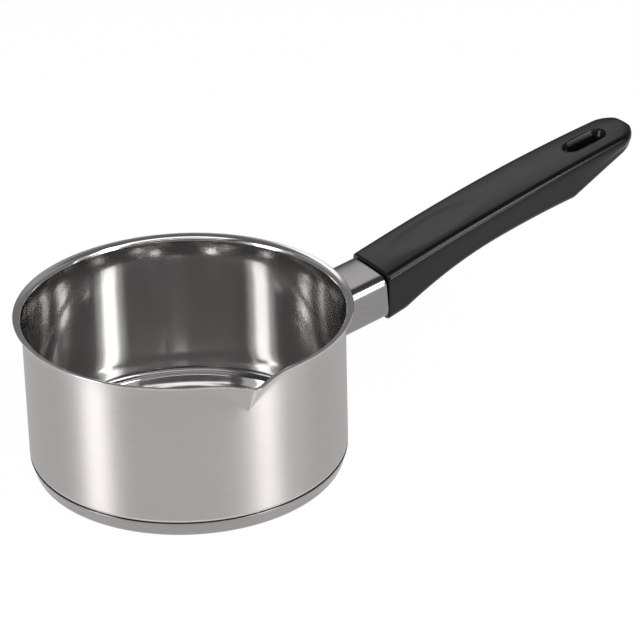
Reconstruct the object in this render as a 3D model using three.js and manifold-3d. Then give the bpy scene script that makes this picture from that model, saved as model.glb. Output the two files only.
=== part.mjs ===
// Saucepan: a drawn steel pan with a rim and a pouring lip, a sandwich base and a screwed-on handle.
// Millimetres, +Z up. The origin is the centre of the base's underside and the handle points along +X.
import * as THREE from 'three';
import { mergeVertices } from 'three/addons/utils/BufferGeometryUtils.js';
import Module from 'manifold-3d';

const wasm = await Module();
wasm.setup();

// Pan shell
const INNER_DIAMETER = 160;
const WALL = 0.8;
const PAN_HEIGHT = 86;
const CORNER_RADIUS = 5;

// Rim: the wall opens a little, then curls out into a brim
const RIM_REACH = 3.9;
const FLARE_HEIGHT = 9;
const FLARE_TURN = 8;
const CURL_RADIUS = 2.4;
const BRIM_TURN = 78;

// Pouring lip, pressed into the rim
const LIP_ANGLE = -97.5;
const LIP_WIDTH = 60;
const LIP_REACH = 8.4;
const LIP_DROP = 1;
const LIP_HEIGHT = 19;
const LIP_TIP_ROUND = 0.12;
const LIP_HOLLOW = 3;

// Sandwich base
const CAP_SHEET = 0.6;
const CAP_HEIGHT = 8.5;
const CAP_SLOPE = 1.6;
const CAP_EDGE_RADIUS = 4;
const CORE_THICKNESS = 6;

// Handle axis: where it meets the wall, how steeply it climbs and how far the joint face leans
const HANDLE_DROP = 27.9;
const HANDLE_RISE = 14.9;
const JOINT_LEAN = 3.3;

// Flame guard: it climbs less steeply than the handle
const GUARD_LENGTH = 30.9;
const GUARD_RISE = 10;
const GUARD_WIDTH = 33;
const GUARD_HEIGHT = 24.1;
const GUARD_CROWN = 1;
const GUARD_SHEET = 0.8;
const GUARD_EDGE_RADIUS = 4.2;
const GUARD_END_RADIUS = 1.4;

// Handle grip
const GRIP_LENGTH = 164;
const GRIP_WIDTH = 34.8;
const GRIP_TIP_WIDTH = 30;
const GRIP_CROWN = 2.4;
const GRIP_STAND_PROUD = 0.9;
const GRIP_TOP_RISE = 13.7;
const GRIP_ARCH = 2.7;
const GRIP_EDGE_RADIUS = 3.2;
const GRIP_BOTTOM_RADIUS = 5;
const GRIP_SIDE_DRAFT = 2;
const GRIP_STRAIGHT = 60;
const COLLAR_LENGTH = 11.5;
const COLLAR_DEPTH = 27.1;
const WAIST_POSITION = 70;
const WAIST_DEPTH = 19.2;
const BELLY_POSITION = 120;
const BELLY_DEPTH = 21.1;
const TIP_DEPTH = 7.5;
const TIP_ROUND = 12.5;
const TIP_EDGE_ROUND = 2.4;
const THUMB_POSITION = 38;
const THUMB_LENGTH = 64;
const THUMB_WIDTH = 23;
const THUMB_DEPTH = 0.8;

// Hanging slot, measured from the tip to the slot's far end
const SLOT_FROM_TIP = 14.5;
const SLOT_LENGTH = 25;
const SLOT_WIDTH = 10.8;

// Bracket and fasteners
const BRACKET_SHEET = 1.5;
const BRACKET_REACH = 20;
const BRACKET_WIDTH = 18;
const BRACKET_HEIGHT = 12;
const BRACKET_FLANGE = 5.5;
const SCREW_DIAMETER = 4;
const SCREW_PAST_NUT = 2;
const HEAD_DIAMETER = 7;
const HEAD_HEIGHT = 3;
const HEAD_SLOT = 1;
const HEAD_SLOT_DEPTH = 1.3;
const HEAD_BELOW_SLOT = 21;
const NUT_FLATS = 7;
const NUT_HEIGHT = 3.2;
const WASHER_DIAMETER = 7;
const WASHER_THICKNESS = 1;
const SPRING_THICKNESS = 1.2;
const SPRING_SPLIT = 14;

// Clearances: between seated pieces, round the screw and round its head
const FIT_GAP = 0.3;
const SCREW_CLEARANCE = 0.3;
const HEAD_CLEARANCE = 0.3;

// How a crowned section is drawn: the crown's share reached at the rounded edge, and its fullness
const CROWN_SHOULDER = 0.3;
const CROWN_FULLNESS = 0.45;

// Facets
const PAN_FACETS = 72;
const LIP_CROWDING = 0.7;
const ARC_STEPS = 4;
const ROUND_FACETS = 24;
const SECTION_STEPS = 4;
const END_STEPS = 3;
const WAIST_STEPS = 9;
const BELLY_STEPS = 5;
const SLOPE_STEPS = 3;
const TIP_STEPS = 9;
const TIP_LAST_TURN = 0.94;
const WELD_DISTANCE = 1e-4;

// Sizes worked out from the ones above
const INNER_RADIUS = INNER_DIAMETER / 2;
const OUTER_RADIUS = INNER_RADIUS + WALL;
const RIM_RADIUS = OUTER_RADIUS + RIM_REACH;
const CORE_TOP = CAP_SHEET + CORE_THICKNESS;
const FLARE_END = THREE.MathUtils.degToRad(FLARE_TURN);
const CURL_END = THREE.MathUtils.degToRad(BRIM_TURN);
const FLARE_RADIUS = FLARE_HEIGHT / Math.sin(FLARE_END);
const FLARE_OPENING = FLARE_RADIUS * (1 - Math.cos(FLARE_END));
const CURL_OPENING = CURL_RADIUS * (Math.cos(FLARE_END) - Math.cos(CURL_END));
const BRIM_LENGTH = (RIM_REACH - FLARE_OPENING - CURL_OPENING) / Math.sin(CURL_END);
const CURL_RISE = (CURL_RADIUS + WALL) * (Math.sin(CURL_END) - Math.sin(FLARE_END));
const BRIM_RISE = BRIM_LENGTH * Math.cos(CURL_END);
const FLARE_START = PAN_HEIGHT - BRIM_RISE - CURL_RISE - (FLARE_RADIUS + WALL) * Math.sin(FLARE_END);
const LIP_START = PAN_HEIGHT - LIP_HEIGHT;
const AXIS_HEIGHT = PAN_HEIGHT - HANDLE_DROP;
const LEAN = THREE.MathUtils.degToRad(JOINT_LEAN);
const CLIMB = THREE.MathUtils.degToRad(HANDLE_RISE - JOINT_LEAN);
const AXIS_SLOPE = Math.tan(CLIMB);
const TOP_SLOPE = Math.tan(THREE.MathUtils.degToRad(GRIP_TOP_RISE - JOINT_LEAN));
const GUARD_SLOPE = Math.tan(THREE.MathUtils.degToRad(GUARD_RISE - JOINT_LEAN));
const GUARD_LIFT = (AXIS_SLOPE - GUARD_SLOPE) * GUARD_LENGTH;
const GRIP_START = GUARD_LENGTH + FIT_GAP;
const GUARD_EDGE = GUARD_HEIGHT / 2 - GUARD_CROWN;
const GRIP_EDGE = AXIS_SLOPE * GUARD_LENGTH + GUARD_EDGE + GRIP_STAND_PROUD;
const SLOT_END = GRIP_START + GRIP_LENGTH - SLOT_FROM_TIP;
const SLOT_START = SLOT_END - SLOT_LENGTH;
const SCREW_HOLE = SCREW_DIAMETER + 2 * SCREW_CLEARANCE;
const HEAD_HOLE = Math.max(HEAD_DIAMETER, WASHER_DIAMETER) + 2 * HEAD_CLEARANCE;

// Places along the screw's axis, from the pan wall outwards
const NUT_END = BRACKET_REACH - BRACKET_SHEET - FIT_GAP;
const SCREW_END = NUT_END - NUT_HEIGHT - SCREW_PAST_NUT;
const SEAT = SLOT_START / Math.cos(CLIMB) - HEAD_BELOW_SLOT;
const WASHER_START = SEAT + FIT_GAP;
const SPRING_START = WASHER_START + WASHER_THICKNESS + FIT_GAP;
const HEAD_START = SPRING_START + SPRING_THICKNESS + FIT_GAP;

const ease = (t) => t * t * (3 - 2 * t);
const clamp01 = (t) => THREE.MathUtils.clamp(t, 0, 1);

// Shared vertices merged and empty triangles dropped, as a closed mesh needs
function weld(geometry) {
  const bare = new THREE.BufferGeometry();
  bare.setAttribute('position', geometry.getAttribute('position').clone());
  if (geometry.index) {
    bare.setIndex(geometry.index.clone());
  }
  const merged = mergeVertices(bare, WELD_DISTANCE);
  const index = merged.index.array;
  const kept = [];
  for (let i = 0; i < index.length; i += 3) {
    const [a, b, c] = [index[i], index[i + 1], index[i + 2]];
    if (a !== b && b !== c && c !== a) {
      kept.push(a, b, c);
    }
  }
  merged.setIndex(kept);
  return merged;
}

function solid(geometry) {
  const closed = weld(geometry);
  return new wasm.Manifold(new wasm.Mesh({
    numProp: 3,
    vertProperties: new Float32Array(closed.getAttribute('position').array),
    triVerts: new Uint32Array(closed.index.array),
  }));
}

function geometryOf(body) {
  const mesh = body.getMesh();
  const geometry = new THREE.BufferGeometry();
  geometry.setAttribute('position', new THREE.BufferAttribute(new Float32Array(mesh.vertProperties), 3));
  geometry.setIndex(new THREE.BufferAttribute(new Uint32Array(mesh.triVerts), 1));
  return geometry;
}

// The first geometry with all the others cut away from it
function cut(base, ...tools) {
  const body = tools.reduce((rest, tool) => rest.subtract(solid(tool)), solid(base));
  return geometryOf(body);
}

function join(...pieces) {
  const body = pieces.map(solid).reduce((whole, piece) => whole.add(piece));
  return geometryOf(body);
}

function overlap(first, second) {
  return geometryOf(solid(first).intersect(solid(second)));
}

// Frames: the joint frame leans with the guard's end face, the screw frame climbs along the axis
const jointFrame = new THREE.Group();
jointFrame.position.set(OUTER_RADIUS, 0, AXIS_HEIGHT);
jointFrame.rotation.y = -LEAN;
const screwFrame = new THREE.Group();
screwFrame.rotation.y = -CLIMB;
jointFrame.add(screwFrame);
jointFrame.updateMatrixWorld(true);

// An upright cylinder on the pan's axis, as seen from a turned frame
function panCylinder(radius, frame) {
  const cylinder = new THREE.CylinderGeometry(radius, radius, 2 * PAN_HEIGHT, PAN_FACETS);
  cylinder.rotateX(Math.PI / 2);
  cylinder.translate(0, 0, PAN_HEIGHT / 2);
  return cylinder.applyMatrix4(frame.matrixWorld.clone().invert());
}

// A rod along +X of the screw frame, from one place to another
function rod(diameter, from, to, facets = ROUND_FACETS) {
  const cylinder = new THREE.CylinderGeometry(diameter / 2, diameter / 2, to - from, facets);
  cylinder.rotateZ(-Math.PI / 2);
  return cylinder.translate((from + to) / 2, 0, 0);
}

const inJointFrame = (geometry) => geometry.applyMatrix4(screwFrame.matrix);

// A profile turned about +Z, with its facets crowded together at the pouring lip
function revolve(profile) {
  const lathe = new THREE.LatheGeometry(profile, PAN_FACETS);
  const position = lathe.getAttribute('position');
  const lipAngle = THREE.MathUtils.degToRad(LIP_ANGLE);
  for (let i = 0; i < position.count; i += 1) {
    const radius = Math.hypot(position.getX(i), position.getZ(i));
    const turn = Math.atan2(position.getX(i), position.getZ(i));
    const angle = lipAngle + turn - LIP_CROWDING * Math.sin(turn);
    position.setXYZ(i, radius * Math.cos(angle), radius * Math.sin(angle), position.getY(i));
  }
  return lathe;
}

function arc(centreX, centreY, radius, from, to) {
  const points = [];
  for (let i = 0; i <= ARC_STEPS; i += 1) {
    const angle = THREE.MathUtils.lerp(from, to, i / ARC_STEPS);
    points.push(new THREE.Vector2(centreX + radius * Math.cos(angle), centreY + radius * Math.sin(angle)));
  }
  return points;
}

// One face of the pan's sheet, from the centre of the floor to the rim, offset inwards from the outside
function sheetFace(offset) {
  const wallRadius = OUTER_RADIUS - offset;
  const lipMiddle = (LIP_START + FLARE_START) / 2;
  const corner = arc(
    OUTER_RADIUS - CORNER_RADIUS, CORE_TOP + CORNER_RADIUS, CORNER_RADIUS - offset, -Math.PI / 2, 0,
  );
  const flare = arc(
    OUTER_RADIUS + FLARE_RADIUS, FLARE_START, FLARE_RADIUS + offset, Math.PI, Math.PI - FLARE_END,
  );
  const inwards = FLARE_RADIUS - CURL_RADIUS;
  const curl = arc(
    OUTER_RADIUS + FLARE_RADIUS - inwards * Math.cos(FLARE_END),
    FLARE_START + inwards * Math.sin(FLARE_END),
    CURL_RADIUS + offset,
    Math.PI - FLARE_END,
    Math.PI - CURL_END,
  );
  const edge = curl[ARC_STEPS].clone();
  edge.x += BRIM_LENGTH * Math.sin(CURL_END);
  edge.y += BRIM_LENGTH * Math.cos(CURL_END);
  return [
    new THREE.Vector2(0, CORE_TOP + offset),
    ...corner,
    new THREE.Vector2(wallRadius, LIP_START),
    new THREE.Vector2(wallRadius, lipMiddle),
    ...flare,
    ...curl.slice(1),
    edge,
  ];
}

// How strongly the pouring lip acts at a place on the wall: 0 outside it, 1 at its tip, with hollow flanks
function lipStrength(angle, height) {
  const climb = clamp01((height - LIP_START) / LIP_HEIGHT);
  const halfAngle = (climb * LIP_WIDTH) / 2 / RIM_RADIUS;
  if (halfAngle === 0) {
    return 0;
  }
  const across = Math.abs(angle) / halfAngle;
  const ridge = Math.hypot(across, LIP_TIP_ROUND) - LIP_TIP_ROUND;
  const edge = Math.hypot(1, LIP_TIP_ROUND) - LIP_TIP_ROUND;
  return Math.max(0, 1 - ridge / edge) ** LIP_HOLLOW * climb;
}

function pressLip(geometry) {
  const position = geometry.getAttribute('position');
  const lipAngle = THREE.MathUtils.degToRad(LIP_ANGLE);
  for (let i = 0; i < position.count; i += 1) {
    const radius = Math.hypot(position.getX(i), position.getY(i));
    const angle = Math.atan2(position.getY(i), position.getX(i));
    const strength = lipStrength(angle - lipAngle, position.getZ(i));
    const pushed = radius + LIP_REACH * strength;
    const dropped = position.getZ(i) - LIP_DROP * strength;
    position.setXYZ(i, pushed * Math.cos(angle), pushed * Math.sin(angle), dropped);
  }
  return geometry;
}

function panBody() {
  return weld(pressLip(revolve([...sheetFace(0), ...sheetFace(WALL).reverse()])));
}

// Radius at a height of the surface that follows the pan's rounded corner just clear of it
function seatRadiusAt(height) {
  const below = Math.max(0, CORE_TOP + CORNER_RADIUS - height);
  return OUTER_RADIUS - CORNER_RADIUS + Math.sqrt(Math.max(0, (CORNER_RADIUS + FIT_GAP) ** 2 - below ** 2));
}

// One face of the base capsule's cup, offset inwards from the outside
function capFace(offset) {
  const rim = seatRadiusAt(CAP_HEIGHT) + CAP_SHEET;
  const foot = rim - CAP_SLOPE;
  const edge = arc(foot - CAP_EDGE_RADIUS, CAP_EDGE_RADIUS, CAP_EDGE_RADIUS - offset, -Math.PI / 2, 0);
  return [new THREE.Vector2(0, offset), ...edge, new THREE.Vector2(rim - offset, CAP_HEIGHT)];
}

function baseCap() {
  return weld(revolve([...capFace(0), ...capFace(CAP_SHEET).reverse()]));
}

// The core fills the capsule and follows the pan's rounded corner up to just below the seam
function baseCore() {
  const brim = CAP_HEIGHT - FIT_GAP;
  const inside = capFace(CAP_SHEET + FIT_GAP).slice(1, -1);
  const lift = CAP_SHEET - inside[0].y;
  const bed = inside.map((point) => new THREE.Vector2(point.x, point.y + lift));
  const corner = [];
  for (let i = ARC_STEPS; i >= 0; i -= 1) {
    const height = THREE.MathUtils.lerp(CORE_TOP, brim, i / ARC_STEPS);
    corner.push(new THREE.Vector2(seatRadiusAt(height), height));
  }
  return weld(revolve([
    new THREE.Vector2(0, CAP_SHEET),
    ...bed,
    ...corner,
    new THREE.Vector2(0, CORE_TOP),
  ]));
}

// A crowned section with rounded edges, drawn with its top edge at height 0
function crownedSection({ width, depth, crown, edge, bottom, draft }) {
  const half = width / 2;
  const foot = half - draft;
  const shape = new THREE.Shape();
  shape.moveTo(-foot + bottom, -depth);
  shape.lineTo(foot - bottom, -depth);
  shape.quadraticCurveTo(foot, -depth, foot, -depth + bottom);
  shape.lineTo(half, -edge);
  shape.quadraticCurveTo(half, 0, half - edge, crown * CROWN_SHOULDER);
  shape.quadraticCurveTo(half * CROWN_FULLNESS, crown, 0, crown);
  shape.quadraticCurveTo(-half * CROWN_FULLNESS, crown, -half + edge, crown * CROWN_SHOULDER);
  shape.quadraticCurveTo(-half, 0, -half, -edge);
  shape.lineTo(-foot, -depth + bottom);
  shape.quadraticCurveTo(-foot, -depth, -foot + bottom, -depth);
  return shape;
}

// From a section's own axes to a frame where the section runs along +X
const ALONG_X = new THREE.Matrix4().set(0, 0, 1, 0, 1, 0, 0, 0, 0, 1, 0, 0, 0, 0, 0, 1);

// The guard's shear: it climbs at its own slope and meets the screw's axis at the joint face
function climbing(geometry) {
  const shear = new THREE.Matrix4().set(1, 0, 0, 0, 0, 1, 0, 0, GUARD_SLOPE, 0, 1, GUARD_LIFT, 0, 0, 0, 1);
  return geometry.applyMatrix4(shear);
}

// The guard's outside, or with an inset its hollow, running from inside the pan wall to the joint face
function guardForm(inset, length) {
  const section = crownedSection({
    width: GUARD_WIDTH - 2 * inset,
    depth: GUARD_HEIGHT - GUARD_CROWN - 2 * inset,
    crown: GUARD_CROWN,
    edge: GUARD_EDGE_RADIUS - inset,
    bottom: GUARD_EDGE_RADIUS - inset,
    draft: 0,
  });
  const round = GUARD_END_RADIUS;
  const buried = GUARD_WIDTH / 2;
  const form = new THREE.ExtrudeGeometry(section, {
    depth: length + buried - 2 * round,
    bevelThickness: round,
    bevelSize: round,
    bevelOffset: -round,
    bevelSegments: END_STEPS,
    curveSegments: SECTION_STEPS,
  });
  form.translate(0, GUARD_EDGE - inset, round - buried);
  return climbing(form.applyMatrix4(ALONG_X));
}

function flameGuard() {
  return cut(
    guardForm(0, GUARD_LENGTH),
    guardForm(GUARD_SHEET, GUARD_LENGTH - GUARD_SHEET),
    panCylinder(OUTER_RADIUS + FIT_GAP, jointFrame),
    inJointFrame(rod(SCREW_HOLE, 0, 2 * GUARD_LENGTH)),
  );
}

// Height of the grip's top edge, along the grip from its joint face
function gripTop(along) {
  const share = along / GRIP_LENGTH;
  return GRIP_EDGE + TOP_SLOPE * along + 4 * GRIP_ARCH * share * (1 - share);
}

// Depth of the underside below the top edge: collar, waist, belly and the slope to the tip
function gripDepth(along) {
  if (along < WAIST_POSITION) {
    const past = clamp01((along - COLLAR_LENGTH) / (WAIST_POSITION - COLLAR_LENGTH));
    return THREE.MathUtils.lerp(WAIST_DEPTH, COLLAR_DEPTH, (1 - past) ** 2);
  }
  if (along < BELLY_POSITION) {
    const past = (along - WAIST_POSITION) / (BELLY_POSITION - WAIST_POSITION);
    return THREE.MathUtils.lerp(WAIST_DEPTH, BELLY_DEPTH, past ** 2);
  }
  const past = (along - BELLY_POSITION) / (GRIP_LENGTH - BELLY_POSITION);
  return THREE.MathUtils.lerp(BELLY_DEPTH, TIP_DEPTH, past);
}

// Half the grip's width: straight, then drawing in, then the round of the tip
function gripHalfWidth(along) {
  const past = clamp01((along - GRIP_STRAIGHT) / (GRIP_LENGTH - TIP_ROUND - GRIP_STRAIGHT));
  const half = THREE.MathUtils.lerp(GRIP_WIDTH, GRIP_TIP_WIDTH, past ** 2) / 2;
  const round = clamp01((along - GRIP_LENGTH + TIP_ROUND) / TIP_ROUND);
  return half * Math.sqrt(1 - round ** 2);
}

// How far the tip's rounded edge has come in from the top or the underside
function tipRoundover(along) {
  const into = clamp01((along - GRIP_LENGTH + TIP_EDGE_ROUND) / TIP_EDGE_ROUND);
  return TIP_EDGE_ROUND * (1 - Math.sqrt(1 - into ** 2));
}

// Shallow hollow for the thumb on the crowned top
function thumbHollow(along, across) {
  const lengthways = (2 * (along - THUMB_POSITION)) / THUMB_LENGTH;
  const sideways = (2 * across) / THUMB_WIDTH;
  return THUMB_DEPTH * ease(clamp01(1 - lengthways ** 2 - sideways ** 2));
}

// Places of the grip's sections, closer together round the tip
function gripStations() {
  const stations = [0, COLLAR_LENGTH / 2];
  const evenly = (from, to, count) => {
    for (let i = 0; i < count; i += 1) {
      stations.push(THREE.MathUtils.lerp(from, to, i / count));
    }
  };
  evenly(COLLAR_LENGTH, WAIST_POSITION, WAIST_STEPS);
  evenly(WAIST_POSITION, BELLY_POSITION, BELLY_STEPS);
  evenly(BELLY_POSITION, GRIP_LENGTH - TIP_ROUND, SLOPE_STEPS);
  const lastTurn = TIP_LAST_TURN * (Math.PI / 2);
  for (let i = 0; i <= TIP_STEPS; i += 1) {
    stations.push(GRIP_LENGTH - TIP_ROUND + TIP_ROUND * Math.sin((lastTurn * i) / TIP_STEPS));
  }
  return stations;
}

// The grip: one section carried along the stations and fitted to its top, underside and width there
function gripForm() {
  const stations = gripStations();
  const section = crownedSection({
    width: GRIP_WIDTH,
    depth: COLLAR_DEPTH,
    crown: GRIP_CROWN,
    edge: GRIP_EDGE_RADIUS,
    bottom: GRIP_BOTTOM_RADIUS,
    draft: GRIP_SIDE_DRAFT,
  });
  const steps = stations.length - 1;
  const form = new THREE.ExtrudeGeometry(section, {
    depth: steps, steps, bevelEnabled: false, curveSegments: SECTION_STEPS,
  });
  const position = form.getAttribute('position');
  for (let i = 0; i < position.count; i += 1) {
    const along = stations[Math.round(position.getZ(i))];
    const across = (position.getX(i) * 2 * gripHalfWidth(along)) / GRIP_WIDTH;
    const height = gripHeight(along, position.getY(i)) - topHollow(along, across, position.getY(i));
    position.setXYZ(i, GRIP_START + along, across, height);
  }
  return form;
}

// A section height carried to a station: rigid near the top and the underside, stretched in between
function gripHeight(along, sectionHeight) {
  const top = gripTop(along) - tipRoundover(along);
  const underside = gripTop(along) - gripDepth(along) + tipRoundover(along);
  const fromBottom = sectionHeight + COLLAR_DEPTH;
  const mix = clamp01(fromBottom / COLLAR_DEPTH);
  const shrink = Math.min(1, (top - underside) / (GRIP_EDGE_RADIUS + GRIP_BOTTOM_RADIUS));
  const high = top + sectionHeight * shrink;
  const low = underside + fromBottom * shrink;
  return THREE.MathUtils.lerp(low, high, ease(mix));
}

const topHollow = (along, across, sectionHeight) => (sectionHeight > 0 ? thumbHollow(along, across) : 0);

// The hanging slot, cut straight through from top to underside
function slotCutter() {
  const radius = SLOT_WIDTH / 2;
  const shape = new THREE.Shape();
  shape.absarc(SLOT_END - radius, 0, radius, -Math.PI / 2, Math.PI / 2, false);
  shape.absarc(SLOT_START + radius, 0, radius, Math.PI / 2, (3 * Math.PI) / 2, false);
  const height = gripTop(GRIP_LENGTH) + GRIP_WIDTH;
  return new THREE.ExtrudeGeometry(shape, {
    depth: height, bevelEnabled: false, curveSegments: ROUND_FACETS / 2,
  });
}

function handleGrip() {
  const reach = 2 * (GRIP_START + GRIP_LENGTH);
  return cut(
    gripForm(),
    slotCutter(),
    inJointFrame(rod(SCREW_HOLE, 0, SEAT + FIT_GAP)),
    inJointFrame(rod(HEAD_HOLE, SEAT, reach)),
  );
}

// The strap's hat shape seen from above, with its two legs running into the pan wall
function bracketStrap() {
  const half = BRACKET_WIDTH / 2;
  const inner = half - BRACKET_SHEET;
  const shape = new THREE.Shape();
  shape.moveTo(-half, -half);
  shape.lineTo(BRACKET_REACH, -half);
  shape.lineTo(BRACKET_REACH, half);
  shape.lineTo(-half, half);
  shape.lineTo(-half, inner);
  shape.lineTo(BRACKET_REACH - BRACKET_SHEET, inner);
  shape.lineTo(BRACKET_REACH - BRACKET_SHEET, -inner);
  shape.lineTo(-half, -inner);
  const strap = new THREE.ExtrudeGeometry(shape, { depth: BRACKET_HEIGHT, bevelEnabled: false });
  return strap.translate(0, 0, -BRACKET_HEIGHT / 2);
}

// The two weld flanges, bent to the pan's curve
function bracketFlange(side) {
  const inner = BRACKET_WIDTH / 2 - BRACKET_SHEET;
  const width = BRACKET_FLANGE + BRACKET_SHEET;
  const block = new THREE.BoxGeometry(BRACKET_WIDTH, width, BRACKET_HEIGHT);
  block.translate(0, side * (inner + width / 2), 0);
  return overlap(block, panCylinder(OUTER_RADIUS + FIT_GAP + BRACKET_SHEET, screwFrame));
}

function handleBracket() {
  return cut(
    join(bracketStrap(), bracketFlange(1), bracketFlange(-1)),
    panCylinder(OUTER_RADIUS + FIT_GAP, screwFrame),
    rod(SCREW_HOLE, 0, 2 * BRACKET_REACH),
  );
}

function bracketNut() {
  const corners = NUT_FLATS / Math.cos(Math.PI / 6);
  const hexagon = rod(corners, NUT_END - NUT_HEIGHT, NUT_END, 6);
  return cut(hexagon, rod(SCREW_HOLE, 0, 2 * BRACKET_REACH));
}

function tieScrew() {
  const shank = rod(SCREW_DIAMETER, SCREW_END, HEAD_START + HEAD_HEIGHT / 2);
  const head = rod(HEAD_DIAMETER, HEAD_START, HEAD_START + HEAD_HEIGHT);
  const slot = new THREE.BoxGeometry(2 * HEAD_SLOT_DEPTH, HEAD_SLOT, 2 * HEAD_DIAMETER);
  slot.translate(HEAD_START + HEAD_HEIGHT, 0, 0);
  return cut(join(shank, head), slot);
}

function flatWasher() {
  const disc = rod(WASHER_DIAMETER, WASHER_START, WASHER_START + WASHER_THICKNESS);
  return cut(disc, rod(SCREW_HOLE, 0, 2 * SEAT));
}

// A split ring, open over a small angle
function springWasher() {
  const split = THREE.MathUtils.degToRad(SPRING_SPLIT) / 2;
  const ring = new THREE.Shape();
  ring.absarc(0, 0, WASHER_DIAMETER / 2, split, 2 * Math.PI - split, false);
  ring.absarc(0, 0, SCREW_HOLE / 2, 2 * Math.PI - split, split, true);
  const washer = new THREE.ExtrudeGeometry(ring, {
    depth: SPRING_THICKNESS, bevelEnabled: false, curveSegments: ROUND_FACETS,
  });
  washer.applyMatrix4(ALONG_X);
  return weld(washer.translate(SPRING_START, 0, 0));
}

function finish(color, roughness, metalness) {
  return new THREE.MeshStandardMaterial({ color, roughness, metalness });
}

function piece(name, geometry, material) {
  const mesh = new THREE.Mesh(geometry, material);
  mesh.name = name;
  return mesh;
}

const saucepan = new THREE.Group();
saucepan.add(
  piece('pan_body', panBody(), finish(0xb4b0ae, 0.3, 1)),
  piece('base_core', baseCore(), finish(0xa8a9ab, 0.5, 1)),
  piece('base_cap', baseCap(), finish(0xb8b4b2, 0.25, 1)),
  jointFrame,
);
jointFrame.add(
  piece('flame_guard', flameGuard(), finish(0xb6b2b0, 0.15, 1)),
  piece('handle_grip', handleGrip(), finish(0x2e2e2d, 0.45, 0)),
);
screwFrame.add(
  piece('handle_bracket', handleBracket(), finish(0x9a9a9c, 0.45, 1)),
  piece('bracket_nut', bracketNut(), finish(0x9c9c9e, 0.4, 1)),
  piece('tie_screw', tieScrew(), finish(0xa4a4a6, 0.35, 1)),
  piece('flat_washer', flatWasher(), finish(0xa0a0a2, 0.4, 1)),
  piece('spring_washer', springWasher(), finish(0x8c8c8e, 0.45, 1)),
);

export default saucepan;
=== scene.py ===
"""Looks of the saucepan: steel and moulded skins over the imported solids, softboxes and a pale floor."""
import math

import bpy
import numpy as np
from mathutils import Matrix, Vector


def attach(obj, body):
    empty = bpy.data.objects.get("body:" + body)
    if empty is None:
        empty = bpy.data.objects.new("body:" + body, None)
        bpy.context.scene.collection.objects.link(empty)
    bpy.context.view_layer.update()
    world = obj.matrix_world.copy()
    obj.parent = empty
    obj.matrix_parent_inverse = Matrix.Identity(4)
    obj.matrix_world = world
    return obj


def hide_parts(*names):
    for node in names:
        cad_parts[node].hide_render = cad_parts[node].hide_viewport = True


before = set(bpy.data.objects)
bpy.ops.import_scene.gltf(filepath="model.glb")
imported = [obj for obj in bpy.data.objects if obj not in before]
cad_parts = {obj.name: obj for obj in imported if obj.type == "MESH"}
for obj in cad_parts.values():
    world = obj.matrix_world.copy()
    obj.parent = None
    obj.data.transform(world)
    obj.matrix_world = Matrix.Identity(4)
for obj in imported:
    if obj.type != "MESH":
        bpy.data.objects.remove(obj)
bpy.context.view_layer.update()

MM = 0.001
BODY = "root"

# Pan shell, in millimetres. The outside is as in the solids, the inside floor is finer
OUTER_RADIUS = 80.8
WALL = 0.8
PAN_HEIGHT = 86.0
CORNER_RADIUS = 5.0
INNER_CORNER_RADIUS = 3.0
CORE_TOP = 6.6
FLOOR_SHEET = 0.6
FLOOR_DISC = 63.3
FLOOR_RING = 68.0
FLOOR_RING_RISE = 0.45
CORNER_STEPS = 16
CORNER_ROWS = 13
FILLET_ROWS = 14

# Rim: the wall opens a little, then curls out into a brim
RIM_REACH = 3.9
FLARE_HEIGHT = 9.0
FLARE_END = math.radians(8.0)
CURL_RADIUS = 2.4
CURL_END = math.radians(78.0)
RIM_RADIUS = OUTER_RADIUS + RIM_REACH
FLARE_RADIUS = FLARE_HEIGHT / math.sin(FLARE_END)
FLARE_OPENING = FLARE_RADIUS * (1 - math.cos(FLARE_END))
CURL_OPENING = CURL_RADIUS * (math.cos(FLARE_END) - math.cos(CURL_END))
BRIM_LENGTH = (RIM_REACH - FLARE_OPENING - CURL_OPENING) / math.sin(CURL_END)
CURL_RISE = (CURL_RADIUS + WALL) * (math.sin(CURL_END) - math.sin(FLARE_END))
BRIM_RISE = BRIM_LENGTH * math.cos(CURL_END)
FLARE_START = PAN_HEIGHT - BRIM_RISE - CURL_RISE - (FLARE_RADIUS + WALL) * math.sin(FLARE_END)

# Pouring lip
LIP_ANGLE = math.radians(-97.5)
LIP_WIDTH = 60.0
LIP_REACH = 8.4
LIP_DROP = 1.0
LIP_HEIGHT = 19.0
LIP_TIP_ROUND = 0.12
LIP_HOLLOW = 3.0
LIP_START = PAN_HEIGHT - LIP_HEIGHT

# Base capsule
CAP_SHEET = 0.6
CAP_HEIGHT = 8.85
CAP_SLOPE = 1.6
CAP_EDGE_RADIUS = 4.0
CAP_RIM_RADIUS = 80.7
ROLL_LEAN = 0.045
ROLL_DEPTH = 2.0

# Handle frame: the joint face leans, the axis climbs
AXIS_HEIGHT = 58.1
LEAN = math.radians(3.3)
AXIS_SLOPE = math.tan(math.radians(11.6))
TOP_SLOPE = math.tan(math.radians(10.4))

# Flame guard: it climbs less steeply than the handle
GUARD_LENGTH = 30.9
GUARD_SLOPE = math.tan(math.radians(6.7))
GUARD_LIFT = (AXIS_SLOPE - GUARD_SLOPE) * GUARD_LENGTH
GUARD_WIDTH = 33.0
GUARD_HEIGHT = 23.4
GUARD_CROWN = 0.3
GUARD_SHEET = 0.8
GUARD_EDGE_RADIUS = 5.4
GUARD_END_RADIUS = 1.3
GUARD_EDGE = 11.05
GUARD_GAP = 0.15

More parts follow.
